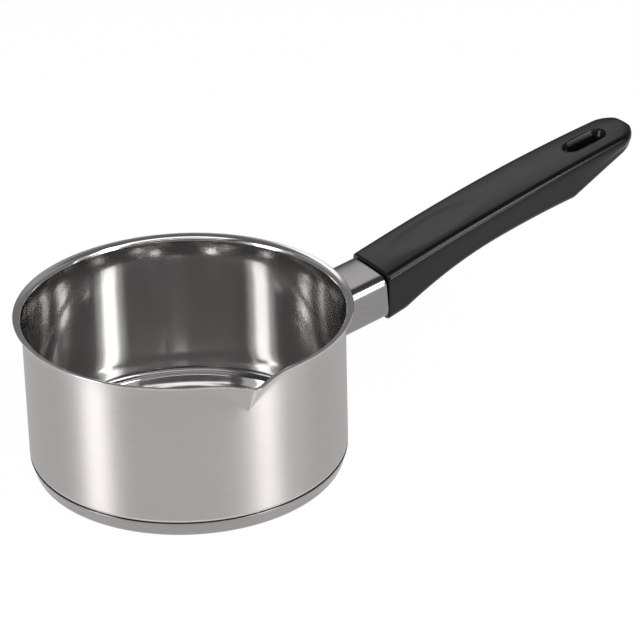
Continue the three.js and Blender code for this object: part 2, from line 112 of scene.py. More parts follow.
# Handle grip, its top flatter than in the solid
GRIP_START = 31.2
GRIP_LENGTH = 164.0
GRIP_WIDTH = 34.8
GRIP_TIP_WIDTH = 30.0
GRIP_CROWN = 0.5
GRIP_EDGE = AXIS_SLOPE * GUARD_LENGTH + GUARD_EDGE + 0.9
GRIP_ARCH = 2.7
GRIP_EDGE_RADIUS = 3.6
GRIP_BOTTOM_RADIUS = 5.0
GRIP_SIDE_DRAFT = 2.0
GRIP_STRAIGHT = 60.0
COLLAR_LENGTH = 11.5
COLLAR_DEPTH = 27.1
WAIST_POSITION = 70.0
WAIST_DEPTH = 19.2
BELLY_POSITION = 120.0
BELLY_DEPTH = 21.1
TIP_DEPTH = 7.5
TIP_ROUND = 12.5
TIP_EDGE_ROUND = 2.4
THUMB_POSITION = 38.0
THUMB_LENGTH = 64.0
THUMB_WIDTH = 23.0
THUMB_DEPTH = 0.35
SLOT_END = GRIP_START + GRIP_LENGTH - 14.5
SLOT_START = SLOT_END - 25.0
SLOT_WIDTH = 10.8
HEAD_HOLE = 7.6
SCREW_HOLE = 4.6
SEAT = SLOT_START / math.cos(math.atan(AXIS_SLOPE)) - 21.0

# How a crowned section is drawn, as in the solids
CROWN_SHOULDER = 0.3
CROWN_FULLNESS = 0.45

# Camera, fitted to the photograph: metres and degrees, in a frame whose -Y side faces the camera
HANDLE_TURN = math.radians(28.984)
CAMERA_DISTANCE = 1.7
CAMERA_ELEVATION = math.radians(29.814)
CAMERA_YAW = math.radians(2.648)
CAMERA_PITCH = math.radians(27.544)
CAMERA_ROLL = math.radians(-1.350)
FOCAL_PIXELS = 3331.8
IMAGE_PIXELS = 640
SENSOR = 36.0
HALF_PIXEL = 0.5


def ease(t):
    return t * t * (3 - 2 * t)


def clamp01(t):
    return np.clip(t, 0.0, 1.0)


def arc(centre_x, centre_y, radius, start, end, steps):
    """Points of an arc in a profile plane."""
    turn = np.linspace(start, end, steps + 1)
    return [(centre_x + radius * math.cos(a), centre_y + radius * math.sin(a)) for a in turn]


def new_object(name, vertices, faces, materials, face_materials=None, smooth=True):
    """A mesh object from millimetre points, with its material slots."""
    mesh = bpy.data.meshes.new(name)
    mesh.from_pydata((np.asarray(vertices) * MM).tolist(), [], faces)
    for material in materials:
        mesh.materials.append(material)
    if face_materials is not None:
        mesh.polygons.foreach_set("material_index", face_materials)
    mesh.polygons.foreach_set("use_smooth", [smooth] * len(mesh.polygons))
    mesh.validate()
    mesh.update()
    obj = bpy.data.objects.new(name, mesh)
    bpy.context.scene.collection.objects.link(obj)
    return obj


def dress(obj, slot, *nodes):
    """The piece rides on the pan and stands for these solids."""
    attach(obj, BODY)
    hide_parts(*nodes)
    return obj


# Node helpers

def new_material(name):
    material = bpy.data.materials.new(name)
    material.use_nodes = True
    tree = material.node_tree
    return material, tree, tree.nodes["Principled BSDF"]


def math_node(tree, operation, first, second=None):
    made = tree.nodes.new("ShaderNodeMath")
    made.operation = operation
    for index, value in enumerate((first, second)):
        if value is None:
            continue
        if isinstance(value, (int, float)):
            made.inputs[index].default_value = value
        else:
            tree.links.new(value, made.inputs[index])
    return made.outputs[0]


def noise(tree, vector, scale, detail, roughness=0.55):
    made = tree.nodes.new("ShaderNodeTexNoise")
    made.inputs["Scale"].default_value = scale
    made.inputs["Detail"].default_value = detail
    made.inputs["Roughness"].default_value = roughness
    tree.links.new(vector, made.inputs["Vector"])
    return made.outputs["Fac"]


def spread(tree, value, low, high, from_low=0.3, from_high=0.7):
    """A noise value stretched onto a range."""
    made = tree.nodes.new("ShaderNodeMapRange")
    made.inputs["From Min"].default_value = from_low
    made.inputs["From Max"].default_value = from_high
    made.inputs["To Min"].default_value = low
    made.inputs["To Max"].default_value = high
    tree.links.new(value, made.inputs["Value"])
    return made.outputs["Result"]


def blend_colours(tree, factor, dark, light):
    made = tree.nodes.new("ShaderNodeMix")
    made.data_type = "RGBA"
    made.inputs[6].default_value = (*dark, 1.0)
    made.inputs[7].default_value = (*light, 1.0)
    tree.links.new(factor, made.inputs[0])
    return made.outputs[2]


def object_point(tree):
    return tree.nodes.new("ShaderNodeTexCoord").outputs["Object"]


def scaled(tree, vector, x, y, z):
    made = tree.nodes.new("ShaderNodeMapping")
    made.inputs["Scale"].default_value = (x, y, z)
    tree.links.new(vector, made.inputs["Vector"])
    return made.outputs["Vector"]


def turned_point(tree, along, across):
    """Coordinates that run round the pan's axis: slow along the turning marks and fast across them."""
    split = tree.nodes.new("ShaderNodeSeparateXYZ")
    tree.links.new(object_point(tree), split.inputs[0])
    x, y, z = split.outputs
    angle = math_node(tree, "ARCTAN2", y, x)
    squares = math_node(tree, "ADD", math_node(tree, "MULTIPLY", x, x), math_node(tree, "MULTIPLY", y, y))
    radius = math_node(tree, "SQRT", squares)
    joined = tree.nodes.new("ShaderNodeCombineXYZ")
    tree.links.new(math_node(tree, "MULTIPLY", angle, along), joined.inputs[0])
    tree.links.new(math_node(tree, "MULTIPLY", z, across), joined.inputs[1])
    tree.links.new(math_node(tree, "MULTIPLY", radius, across), joined.inputs[2])
    return joined.outputs[0]


def weigh(tree, first, share, second):
    """Two noise values added by share."""
    part = math_node(tree, "MULTIPLY", first, share)
    return math_node(tree, "ADD", part, math_node(tree, "MULTIPLY", second, 1 - share))


def paint(tree, shader, tone, dark, light):
    """The base colour runs from dark to light with a noise value."""
    colour = blend_colours(tree, spread(tree, tone, 0.0, 1.0), dark, light)
    tree.links.new(colour, shader.inputs["Base Color"])


def add_bump(tree, shader, height, strength, distance):
    made = tree.nodes.new("ShaderNodeBump")
    made.inputs["Strength"].default_value = strength
    made.inputs["Distance"].default_value = distance
    tree.links.new(height, made.inputs["Height"])
    tree.links.new(made.outputs["Normal"], shader.inputs["Normal"])


def turned_steel(name, dark, light, roughness, variation, anisotropy, bump, marks=2600.0):
    """Steel with fine marks that run round the pan's axis."""
    material, tree, shader = new_material(name)
    brush = noise(tree, turned_point(tree, 3.0, marks), 1.0, 3.0)
    cloud = noise(tree, object_point(tree), 22.0, 2.0)
    tone = weigh(tree, brush, 0.6, cloud)
    paint(tree, shader, tone, dark, light)
    low, high = roughness - variation, roughness + variation
    tree.links.new(spread(tree, tone, low, high), shader.inputs["Roughness"])
    shader.inputs["Metallic"].default_value = 1.0
    shader.inputs["Anisotropic"].default_value = anisotropy
    shader.inputs["Anisotropic Rotation"].default_value = 0.25
    tangent = tree.nodes.new("ShaderNodeTangent")
    tangent.direction_type = "RADIAL"
    tangent.axis = "Z"
    tree.links.new(tangent.outputs[0], shader.inputs["Tangent"])
    add_bump(tree, shader, brush, bump, 0.00002)
    return material


def polished_steel(name, dark, light, roughness, variation, bump=0.01, scale=900.0):
    """Buffed steel with a faint haze and hairline marks."""
    material, tree, shader = new_material(name)
    haze = noise(tree, object_point(tree), 60.0, 3.0)
    hair = noise(tree, scaled(tree, object_point(tree), 0.12, 1.0, 1.0), scale, 2.0)
    tone = weigh(tree, haze, 0.5, hair)
    paint(tree, shader, tone, dark, light)
    low, high = roughness - variation, roughness + variation
    tree.links.new(spread(tree, tone, low, high), shader.inputs["Roughness"])
    shader.inputs["Metallic"].default_value = 1.0
    add_bump(tree, shader, hair, bump, 0.00002)
    return material


def phenolic(name):
    """Black moulded resin: satin skin with a fine grain and faint flow clouds."""
    material, tree, shader = new_material(name)
    grain = noise(tree, object_point(tree), 2400.0, 3.0, 0.65)
    flow = noise(tree, scaled(tree, object_point(tree), 0.35, 1.0, 1.0), 75.0, 4.0)
    mixed = weigh(tree, grain, 0.45, flow)
    paint(tree, shader, mixed, (0.0028, 0.0028, 0.0027), (0.0042, 0.0042, 0.0041))
    tree.links.new(spread(tree, mixed, 0.18, 0.25), shader.inputs["Roughness"])
    shader.inputs["IOR"].default_value = 1.56
    shader.inputs["Specular IOR Level"].default_value = 0.24
    add_bump(tree, shader, grain, 0.25, 0.00004)
    return material


def zinc(name):
    """Plated fastener steel with a spangled, slightly dull skin."""
    material, tree, shader = new_material(name)
    spangle = noise(tree, object_point(tree), 420.0, 4.0)
    paint(tree, shader, spangle, (0.40, 0.40, 0.42), (0.56, 0.56, 0.55))
    tree.links.new(spread(tree, spangle, 0.28, 0.46), shader.inputs["Roughness"])
    shader.inputs["Metallic"].default_value = 1.0
    add_bump(tree, shader, spangle, 0.2, 0.00005)
    return material


def dull_aluminium(name):
    """The pressed core, dull where it shows in the seam."""
    material, tree, shader = new_material(name)
    cloud = noise(tree, turned_point(tree, 4.0, 900.0), 1.0, 3.0)
    paint(tree, shader, cloud, (0.34, 0.335, 0.33), (0.46, 0.452, 0.447))
    tree.links.new(spread(tree, cloud, 0.5, 0.65), shader.inputs["Roughness"])
    shader.inputs["Metallic"].default_value = 1.0
    add_bump(tree, shader, cloud, 0.2, 0.00004)
    return material


STEEL_DARK = (0.50, 0.478, 0.474)
STEEL_LIGHT = (0.58, 0.557, 0.552)
BRIGHT_DARK = (0.62, 0.612, 0.606)
BRIGHT_LIGHT = (0.69, 0.682, 0.676)
SATIN = turned_steel("steel_satin", STEEL_DARK, STEEL_LIGHT, 0.45, 0.03, 0.94, 0.03)
CORNER = turned_steel("steel_corner", STEEL_DARK, STEEL_LIGHT, 0.18, 0.03, 0.0, 0.02)
MIRROR = turned_steel("steel_mirror", BRIGHT_DARK, BRIGHT_LIGHT, 0.11, 0.02, 0.3, 0.0)
# The inner wall-to-floor fillet: the steel darkened as painted shade in the corner.
SHADED_FILLET = turned_steel("steel_fillet_painted_shade", (0.25, 0.246, 0.244), (0.29, 0.286, 0.283), 0.2, 0.03, 0.0, 0.0)
PAN_FLOOR = turned_steel("steel_floor", BRIGHT_DARK, BRIGHT_LIGHT, 0.08, 0.02, 0.0, 0.0, 1500.0)
RIM_EDGE = polished_steel("steel_rim", (0.58, 0.565, 0.56), (0.66, 0.645, 0.64), 0.16, 0.03)
# The capsule's sloping band: the pan's steel darkened as painted shade, for the floor's contact shadow it
# would reflect near the base.
SHADED_CAP_BAND = turned_steel("steel_cap_band_painted_shade", (0.29, 0.278, 0.275), (0.35, 0.336, 0.333), 0.30, 0.03, 0.8, 0.10)
CAP_UNDER = turned_steel(
    "steel_cap_under", (0.44, 0.42, 0.415), (0.58, 0.56, 0.555), 0.36, 0.05, 0.8, 0.5, 900.0
)
# The flame guard's steel, darkened far below the pan's as painted shade, so the bright floor it reflects
# comes out dim.
GUARD = polished_steel("steel_guard_painted_shade", (0.23, 0.223, 0.221), (0.26, 0.252, 0.25), 0.17, 0.02, 0.0)
PHENOLIC = phenolic("handle_phenolic")
ZINC = zinc("fastener_zinc")
CORE = dull_aluminium("core_aluminium")


# Turned pieces

def pan_angles(count=320, crowding=0.7):
    """Angles round the pan, crowded together at the pouring lip."""
    turn = np.linspace(0, 2 * math.pi, count, endpoint=False)
    return LIP_ANGLE + turn - crowding * np.sin(turn), turn - crowding * np.sin(turn)


def lathe(name, profile, zones, materials, shape=None):
    """A profile turned about Z. zones gives the material of each stretch between two profile points."""
    angles, from_lip = pan_angles()
    count = len(angles)
    vertices, rows, faces, face_materials = [], [], [], []
    for radius, height in profile:
        if radius < 1e-6:
            rows.append([len(vertices)] * count)
            vertices.append((0.0, 0.0, height))
            continue
        r, z = np.full(count, radius), np.full(count, height)
        if shape is not None:
            r, z = shape(r, z, from_lip)
        rows.append(list(range(len(vertices), len(vertices) + count)))
        vertices.extend(np.stack([r * np.cos(angles), r * np.sin(angles), z], 1).tolist())
    for i, zone in enumerate(zones):
        low, high = rows[i], rows[i + 1]
        for j in range(count):
            k = (j + 1) % count
            corners = [low[j], low[k], high[k], high[j]]
            faces.append(list(dict.fromkeys(corners)))
            face_materials.append(zone)
    return new_object(name, vertices, faces, materials, face_materials)


def press_lip(radius, height, angle):
    """The pouring lip: a rounded ridge that widens and reaches out towards the rim."""
    turn = (angle + math.pi) % (2 * math.pi) - math.pi
    climb = clamp01((height - LIP_START) / LIP_HEIGHT)
    half = np.maximum(climb, 1e-6) * LIP_WIDTH / 2 / RIM_RADIUS
    across = np.abs(turn) / half
    ridge = np.hypot(across, LIP_TIP_ROUND) - LIP_TIP_ROUND
    edge = math.hypot(1, LIP_TIP_ROUND) - LIP_TIP_ROUND
    strength = clamp01(1 - ridge / edge) ** LIP_HOLLOW * climb
    return radius + LIP_REACH * strength, height - LIP_DROP * strength


def stretch(start, end, steps):
    """Evenly spaced profile points after start, up to and with end."""
    a, b = np.array(start), np.array(end)
    return [tuple(a + (b - a) * i / steps) for i in range(1, steps + 1)]


def sheet_face(offset):
    """One face of the pan's sheet from the floor's centre to the rim, and its number of floor points."""
    wall = OUTER_RADIUS - offset
    bend = INNER_CORNER_RADIUS if offset else CORNER_RADIUS
    level = CORE_TOP + FLOOR_SHEET if offset else CORE_TOP
    corner = arc(wall - bend, level + bend, bend, -math.pi / 2, 0, CORNER_STEPS)
    flare_x = OUTER_RADIUS + FLARE_RADIUS
    flare = arc(flare_x, FLARE_START, FLARE_RADIUS + offset, math.pi, math.pi - FLARE_END, 12)
    inwards = FLARE_RADIUS - CURL_RADIUS
    curl_x = flare_x - inwards * math.cos(FLARE_END)
    curl_z = FLARE_START + inwards * math.sin(FLARE_END)
    curl = arc(curl_x, curl_z, CURL_RADIUS + offset, math.pi - FLARE_END, math.pi - CURL_END, 14)
    edge = (curl[-1][0] + BRIM_LENGTH * math.sin(CURL_END), curl[-1][1] + BRIM_RISE)
    brim = stretch(curl[-1], edge, 4)
    disc = (FLOOR_DISC, level - FLOOR_RING_RISE if offset else level)
    ring = (FLOOR_RING, level)
    floor = [(0.0, disc[1]), *stretch((0.0, disc[1]), disc, 8), *stretch(disc, ring, 3)]
    floor += stretch(ring, corner[0], 3)
    lower = stretch(corner[-1], (wall, LIP_START - 2), 18)
    upper = stretch((wall, LIP_START - 2), flare[0], 14)
    return [*floor, *corner[1:], *lower, *upper, *flare[1:], *curl[1:], *brim], len(floor)


def pan_shell():
    """The pan's sheet: satin outside, polished rim, bright inside, duller bends at the floor, painted shade
    in the inner fillet.
    """
    outside, floor_rows = sheet_face(0.0)
    corner_rows = floor_rows + CORNER_ROWS
    inside, floor_rows = sheet_face(WALL)
    tip_out, tip_in = np.array(outside[-1]), np.array(inside[-1])
    middle, half = (tip_out + tip_in) / 2, (tip_in - tip_out) / 2
    forward = np.array([-half[1], half[0]]) * -1
    turn = np.linspace(0, math.pi, 7)[1:-1]
    edge = [tuple(middle - half * math.cos(a) + forward * math.sin(a)) for a in turn]
    profile = [*outside, *edge, *inside[::-1]]
    rim_start = len(outside) - 1
    rim_end = rim_start + len(edge) + 1
    zones = []
    for i in range(len(profile) - 1):
        if i < rim_start:
            zones.append(4 if i < corner_rows else 0)
        elif i < rim_end:
            zones.append(1)
        else:
            from_centre = len(profile) - 1 - i
            if from_centre < floor_rows:
                zones.append(3)
            else:
                # Rows of the inner fillet take the steel darkened with painted shade.
                zones.append(5 if from_centre < floor_rows + FILLET_ROWS else 2)
    return lathe("pan_shell", profile, zones, [SATIN, RIM_EDGE, MIRROR, PAN_FLOOR, CORNER, SHADED_FILLET], press_lip)


def cap_skin():
    """The capsule: turned underside, rounded foot, sloping band darkened with painted shade and a rolled rim
    short of the pan.
    """
    rim, foot = CAP_RIM_RADIUS, CAP_RIM_RADIUS - CAP_SLOPE
    edge = arc(foot - CAP_EDGE_RADIUS, CAP_EDGE_RADIUS, CAP_EDGE_RADIUS, -math.pi / 2, 0, 8)
    under = [(0.0, 0.0), *stretch((0.0, 0.0), edge[0], 16)]
    roll = CAP_SHEET / 2 - 0.05
    band = stretch(edge[-1], (rim, CAP_HEIGHT - roll), 5)
    top = arc(rim - roll, CAP_HEIGHT - roll, roll, 0, math.pi, 6)[1:]
    inner = [
        (rim - 2 * roll - ROLL_LEAN, CAP_HEIGHT - ROLL_DEPTH),
        (foot - CAP_EDGE_RADIUS, CAP_SHEET),
        (0.0, CAP_SHEET),
    ]
    profile = [*under, *edge[1:], *band, *top, *inner]
    # The band and rolled rim take the steel darkened with painted shade.
    zones = [0] * (len(under) - 1 + 4) + [1] * (len(profile) - len(under) - 4)
    return lathe("base_cap_skin", profile, zones, [CAP_UNDER, SHADED_CAP_BAND])


# Handle pieces, drawn in the joint frame and turned into the row frame

def joint_to_row(points):
    p = np.asarray(points, float)
    cos, sin = math.cos(LEAN), math.sin(LEAN)
    x = OUTER_RADIUS + p[:, 0] * cos - p[:, 2] * sin
    z = AXIS_HEIGHT + p[:, 0] * sin + p[:, 2] * cos
    return np.stack([x, p[:, 1], z], 1)


def quadratic(a, b, c, steps):
    t = np.linspace(0, 1, steps + 1)[:, None]
    a, b, c = (np.array(v, float) for v in (a, b, c))
    return [tuple(v) for v in (1 - t) ** 2 * a + 2 * t * (1 - t) * b + t ** 2 * c]


def crowned_section(width, depth, crown, edge, bottom, draft, fine):
    """A crowned section with rounded edges, its top edge at height 0, as a closed ring of points."""
    half = width / 2
    foot = half - draft
    shoulder, full = crown * CROWN_SHOULDER, half * CROWN_FULLNESS
    right = [
        (foot - bottom, -depth),
        *quadratic((foot - bottom, -depth), (foot, -depth), (foot, -depth + bottom), fine)[1:],
        *stretch((foot, -depth + bottom), (half, -edge), fine),
        *quadratic((half, -edge), (half, 0), (half - edge, shoulder), fine)[1:],
        *quadratic((half - edge, shoulder), (full, crown), (0, crown), 2 * fine)[1:],
    ]
    left = [(-x, y) for x, y in right[-2::-1]]
    ring = right + left
    return np.array(ring + stretch(ring[-1], ring[0], fine)[:-1])


def tube_faces(rows, ring):
    """Quads between successive rings of points."""
    faces = []
    for i in range(rows - 1):
        for j in range(ring):
            k = (j + 1) % ring
            faces.append([i * ring + j, i * ring + k, (i + 1) * ring + k, (i + 1) * ring + j])
    return faces


def guard_skin():
    """Pressed cup from the pan wall to the joint face, with a rounded closed end."""
    depth = GUARD_HEIGHT - GUARD_CROWN
    section = crowned_section(GUARD_WIDTH, depth, GUARD_CROWN, GUARD_EDGE_RADIUS, GUARD_EDGE_RADIUS, 0.0, 8)
    section[:, 1] += GUARD_EDGE
    ring = len(section)
    cos, sin = math.cos(LEAN), math.sin(LEAN)
    seat = np.sqrt((OUTER_RADIUS + GUARD_GAP) ** 2 - section[:, 0] ** 2) - OUTER_RADIUS
    start = (seat + (section[:, 1] + GUARD_LIFT) * sin) / (cos - GUARD_SLOPE * sin)
    points = []
    straight = 24
    for share in np.linspace(0, 1, straight):
        along = start + (GUARD_LENGTH - GUARD_END_RADIUS - start) * share
        points.append(np.stack([along, section[:, 0], section[:, 1] + GUARD_LIFT + GUARD_SLOPE * along], 1))
    rounding = 8
    for turn in np.linspace(0, math.pi / 2, rounding + 1)[1:]:
        along = GUARD_LENGTH - GUARD_END_RADIUS * (1 - math.sin(turn))
        inset = GUARD_END_RADIUS * (1 - math.cos(turn))
        small = section * np.array([1 - 2 * inset / GUARD_WIDTH, 1 - 2 * inset / GUARD_HEIGHT])
        height = small[:, 1] + GUARD_LIFT + GUARD_SLOPE * along
        points.append(np.stack([np.full(ring, along), small[:, 0], height], 1))
    rows = len(points)
    faces = tube_faces(rows, ring)
    faces.append(list(range((rows - 1) * ring, rows * ring)))
    inner = [p * np.array([1, 1 - 2 * GUARD_SHEET / GUARD_WIDTH, 1]) for p in points[:2]]
    for p in inner:
        axis = GUARD_LIFT + GUARD_SLOPE * p[:, 0]
        p[:, 2] = axis + (p[:, 2] - axis) * (1 - 2 * GUARD_SHEET / GUARD_HEIGHT)
    inner[1][:, 0] = GUARD_LENGTH - 2 * GUARD_SHEET
    inner[1][:, 2] += GUARD_SLOPE * (GUARD_LENGTH - 2 * GUARD_SHEET - points[1][:, 0])
    base = rows * ring
    for j in range(ring):
        k = (j + 1) % ring
        faces.append([j, base + j, base + k, k])
        faces.append([base + j, base + ring + j, base + ring + k, base + k])
    faces.append([base + ring + j for j in range(ring)][::-1])
    return new_object("flame_guard_skin", joint_to_row(np.concatenate([*points, *inner])), faces, [GUARD])


def grip_top(along):
    share = along / GRIP_LENGTH
    return GRIP_EDGE + TOP_SLOPE * along + 4 * GRIP_ARCH * share * (1 - share)


def grip_depth(along):
    """Depth of the underside below the top edge: collar, waist, belly and the slope to the tip."""
    if along < WAIST_POSITION:
        past = float(clamp01((along - COLLAR_LENGTH) / (WAIST_POSITION - COLLAR_LENGTH)))
        return WAIST_DEPTH + (COLLAR_DEPTH - WAIST_DEPTH) * (1 - past) ** 2
    if along < BELLY_POSITION:
        past = (along - WAIST_POSITION) / (BELLY_POSITION - WAIST_POSITION)
        return WAIST_DEPTH + (BELLY_DEPTH - WAIST_DEPTH) * past ** 2
    past = (along - BELLY_POSITION) / (GRIP_LENGTH - BELLY_POSITION)
    return BELLY_DEPTH + (TIP_DEPTH - BELLY_DEPTH) * past


def grip_half_width(along):
    past = float(clamp01((along - GRIP_STRAIGHT) / (GRIP_LENGTH - TIP_ROUND - GRIP_STRAIGHT)))
    half = (GRIP_WIDTH + (GRIP_TIP_WIDTH - GRIP_WIDTH) * past ** 2) / 2
    turn = float(clamp01((along - GRIP_LENGTH + TIP_ROUND) / TIP_ROUND))
    return half * math.sqrt(1 - turn ** 2)


def tip_roundover(along):
    into = float(clamp01((along - GRIP_LENGTH + TIP_EDGE_ROUND) / TIP_EDGE_ROUND))
    return TIP_EDGE_ROUND * (1 - math.sqrt(1 - into ** 2))


def thumb_hollow(along, across):
    lengthways = 2 * (along - THUMB_POSITION) / THUMB_LENGTH
    sideways = 2 * across / THUMB_WIDTH
    return THUMB_DEPTH * ease(clamp01(1 - lengthways ** 2 - sideways ** 2))


def grip_stations():
    """Places of the grip's sections, close together at the rounded ends."""
    front = [0.0, 0.15, 0.35, 0.6, 0.9, 1.4]
    middle = np.arange(3.0, GRIP_LENGTH - TIP_ROUND, 1.5).tolist()
    turn = np.linspace(0, 0.985 * math.pi / 2, 26)
    tip = (GRIP_LENGTH - TIP_ROUND + TIP_ROUND * np.sin(turn)).tolist()
    return [*front, *middle, *tip]


def grip_section(section, along):
    """The section carried to a place along the grip."""
    top = grip_top(along) - tip_roundover(along)
    underside = grip_top(along) - grip_depth(along) + tip_roundover(along)
    across = section[:, 0] * 2 * grip_half_width(along) / GRIP_WIDTH
    from_bottom = section[:, 1] + COLLAR_DEPTH
    shrink = min(1.0, (top - underside) / (GRIP_EDGE_RADIUS + GRIP_BOTTOM_RADIUS))
    mix = ease(clamp01(from_bottom / COLLAR_DEPTH))
    height = (underside + from_bottom * shrink) * (1 - mix) + (top + section[:, 1] * shrink) * mix
    height = height - np.where(section[:, 1] > 0, thumb_hollow(along, across), 0.0)
    return across, height


def grip_body():
    section = crowned_section(
        GRIP_WIDTH, COLLAR_DEPTH, GRIP_CROWN, GRIP_EDGE_RADIUS, GRIP_BOTTOM_RADIUS, GRIP_SIDE_DRAFT, 9
    )
    front_round = 0.9
    points = []
    for along in grip_stations():
        across, height = grip_section(section, along)
        if along < front_round:
            inset = front_round - math.sqrt(front_round ** 2 - (front_round - along) ** 2)
            centre = (height.max() + height.min()) / 2
            across = across * (1 - inset / (GRIP_WIDTH / 2))
            height = centre + (height - centre) * (1 - inset / (COLLAR_DEPTH / 2))
        points.append(np.stack([np.full(len(section), GRIP_START + along), across, height], 1))
    rows, ring = len(points), len(section)
    faces = tube_faces(rows, ring)
    faces.append(list(range(ring))[::-1])
    faces.append(list(range((rows - 1) * ring, rows * ring)))
    return new_object("handle_skin", joint_to_row(np.concatenate(points)), faces, [PHENOLIC])


def slot_cutter():
    """The hanging slot: levels hold a side, 0 under and 1 on top, a lift from it and an outward offset."""
    radius = SLOT_WIDTH / 2
    turn = np.linspace(-math.pi / 2, math.pi / 2, 25)
    far = np.stack([SLOT_END - radius + radius * np.cos(turn), radius * np.sin(turn)], 1)
    near = np.stack([SLOT_START + radius - radius * np.cos(turn), -radius * np.sin(turn)], 1)
    outline = np.concatenate([far, near])
    away = np.stack([np.cos(turn), np.sin(turn)], 1)
    outward = np.concatenate([away, -away])
    levels = [
        (0, -3.0, 0.2), (0, -0.1, -0.6), (0, 0.25, -1.0), (0, 0.7, -1.3), (0, 1.2, -1.4),
        (1, -3.6, -1.4), (1, -2.2, -0.78), (1, -0.9, -0.2), (1, -0.3, 0.2),
        (1, 0.0, 0.55), (1, 0.2, 0.95), (1, 3.0, 1.5),
    ]
    points = []
    for side, lift, offset in levels:
        place = outline + outward * offset
        along = place[:, 0] - GRIP_START
        top = np.array([grip_top(a) for a in along]) + GRIP_CROWN - 0.1
        underside = np.array([grip_top(a) - grip_depth(a) for a in along])
        points.append(np.column_stack([place, (top if side else underside) + lift]))
    rows, ring = len(points), len(outline)
    faces = tube_faces(rows, ring)
    faces.append(list(range(ring))[::-1])
    faces.append(list(range((rows - 1) * ring, rows * ring)))
    return new_object("slot_cutter", joint_to_row(np.concatenate(points)), faces, [PHENOLIC])


def bore_cutter(name, diameter, start, end):
    """A round hole along the screw's axis."""
    climb = math.atan(AXIS_SLOPE)
    turn = np.linspace(0, 2 * math.pi, 40, endpoint=False)
    points = []
    for along in (start, end):
        y, up = diameter / 2 * np.cos(turn), diameter / 2 * np.sin(turn)
        x = along * math.cos(climb) - up * math.sin(climb)
        z = along * math.sin(climb) + up * math.cos(climb)
        points.append(np.stack([x, y, z], 1))
    ring = len(turn)
    faces = tube_faces(2, ring)
    faces.append(list(range(ring))[::-1])
    faces.append(list(range(ring, 2 * ring)))
    return new_object(name, joint_to_row(np.concatenate(points)), faces, [PHENOLIC])


def cut_away(obj, cutters):
    """The cutters taken out of the object, for good."""
    for cutter in cutters:
        modifier = obj.modifiers.new(cutter.name, "BOOLEAN")
        modifier.operation = "DIFFERENCE"
        modifier.solver = "EXACT"
        modifier.object = cutter
    evaluated = obj.evaluated_get(bpy.context.evaluated_depsgraph_get())
    mesh = bpy.data.meshes.new_from_object(evaluated)
    obj.modifiers.clear()
    obj.data = mesh
    for cutter in cutters:
        bpy.data.objects.remove(cutter)
    return obj


def handle_skin():
    grip = grip_body()
    cutters = [
        slot_cutter(),
        bore_cutter("screw_bore", SCREW_HOLE, 0.0, SEAT + 0.3),
        bore_cutter("head_bore", HEAD_HOLE, SEAT, 240.0),
    ]
    cut_away(grip, cutters)
    grip.data.name = "handle_skin"
    grip.data.polygons.foreach_set("use_smooth", [True] * len(grip.data.polygons))
    grip.data.set_sharp_from_angle(angle=math.radians(35))
    return grip


def repaint(name, material):
    """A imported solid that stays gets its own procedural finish."""
    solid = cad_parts[name]
    solid.data.materials.clear()
    solid.data.materials.append(material)


dress(pan_shell(), "pan_steel", "pan_body")
dress(cap_skin(), "base_steel", "base_cap")
dress(guard_skin(), "guard_steel", "flame_guard")
dress(handle_skin(), "handle_phenolic", "handle_grip")
repaint("base_core", CORE)
for fastener in ("handle_bracket", "bracket_nut", "tie_screw", "flat_washer", "spring_washer"):
    repaint(fastener, ZINC)


# Camera

def facing_to_row(x, y, z):
    """A point or direction from the frame that faces the camera to the row frame."""
    cos, sin = math.cos(HANDLE_TURN), math.sin(HANDLE_TURN)
    return Vector((x * cos + y * sin, -x * sin + y * cos, z))


def make_camera():
    data = bpy.data.cameras.new("camera")
    data.sensor_width = SENSOR
    data.lens = FOCAL_PIXELS / IMAGE_PIXELS * SENSOR
    data.clip_end = 200.0
    camera = bpy.data.objects.new("camera", data)
    back = -CAMERA_DISTANCE * math.cos(CAMERA_ELEVATION)
    place = facing_to_row(0, back, CAMERA_DISTANCE * math.sin(CAMERA_ELEVATION))
    level = math.cos(CAMERA_PITCH)
    ahead = math.cos(CAMERA_YAW) * level
    forward = facing_to_row(math.sin(CAMERA_YAW) * level, ahead, -math.sin(CAMERA_PITCH))
    right = facing_to_row(math.cos(CAMERA_YAW), -math.sin(CAMERA_YAW), 0)
    up = right.cross(forward)
    cos, sin = math.cos(CAMERA_ROLL), math.sin(CAMERA_ROLL)
    right, up = right * cos + up * sin, up * cos - right * sin
    forward = (forward + (up - right) * (HALF_PIXEL / FOCAL_PIXELS)).normalized()
    right = (right - forward * right.dot(forward)).normalized()
    up = right.cross(forward)
    camera.matrix_world = Matrix.Translation(place) @ Matrix((right, up, -forward)).transposed().to_4x4()
    bpy.context.scene.collection.objects.link(camera)
    bpy.context.scene.camera = camera


make_camera()


# Studio, in metres and degrees

FLOOR_RADIUS = 40.0
FLOOR_LEVEL = -0.0002
FLOOR_WHITE = 0.94
LAMP_TARGET = Vector((0.0, 0.0, 0.05))


def softbox(name, azimuth, elevation, distance, width, height, radiance, lean=None):
    """A rectangular lamp that faces the pan. Azimuth is from the camera's side, positive to its right."""
    a, e = math.radians(azimuth), math.radians(elevation)
    data = bpy.data.lights.new(name, "AREA")
    data.shape = "RECTANGLE"
    data.size, data.size_y = width, height
    data.energy = radiance * math.pi * width * height
    lamp = bpy.data.objects.new(name, data)
    back = facing_to_row(math.sin(a) * math.cos(e), -math.cos(a) * math.cos(e), math.sin(e))
    lamp.location = LAMP_TARGET + back * distance
    lamp.rotation_mode = "QUATERNION"
    tilt = e if lean is None else math.radians(lean)
    facing = facing_to_row(math.sin(a) * math.cos(tilt), -math.cos(a) * math.cos(tilt), math.sin(tilt))
    lamp.rotation_quaternion = facing.to_track_quat("Z", "Y")
    bpy.context.scene.collection.objects.link(lamp)


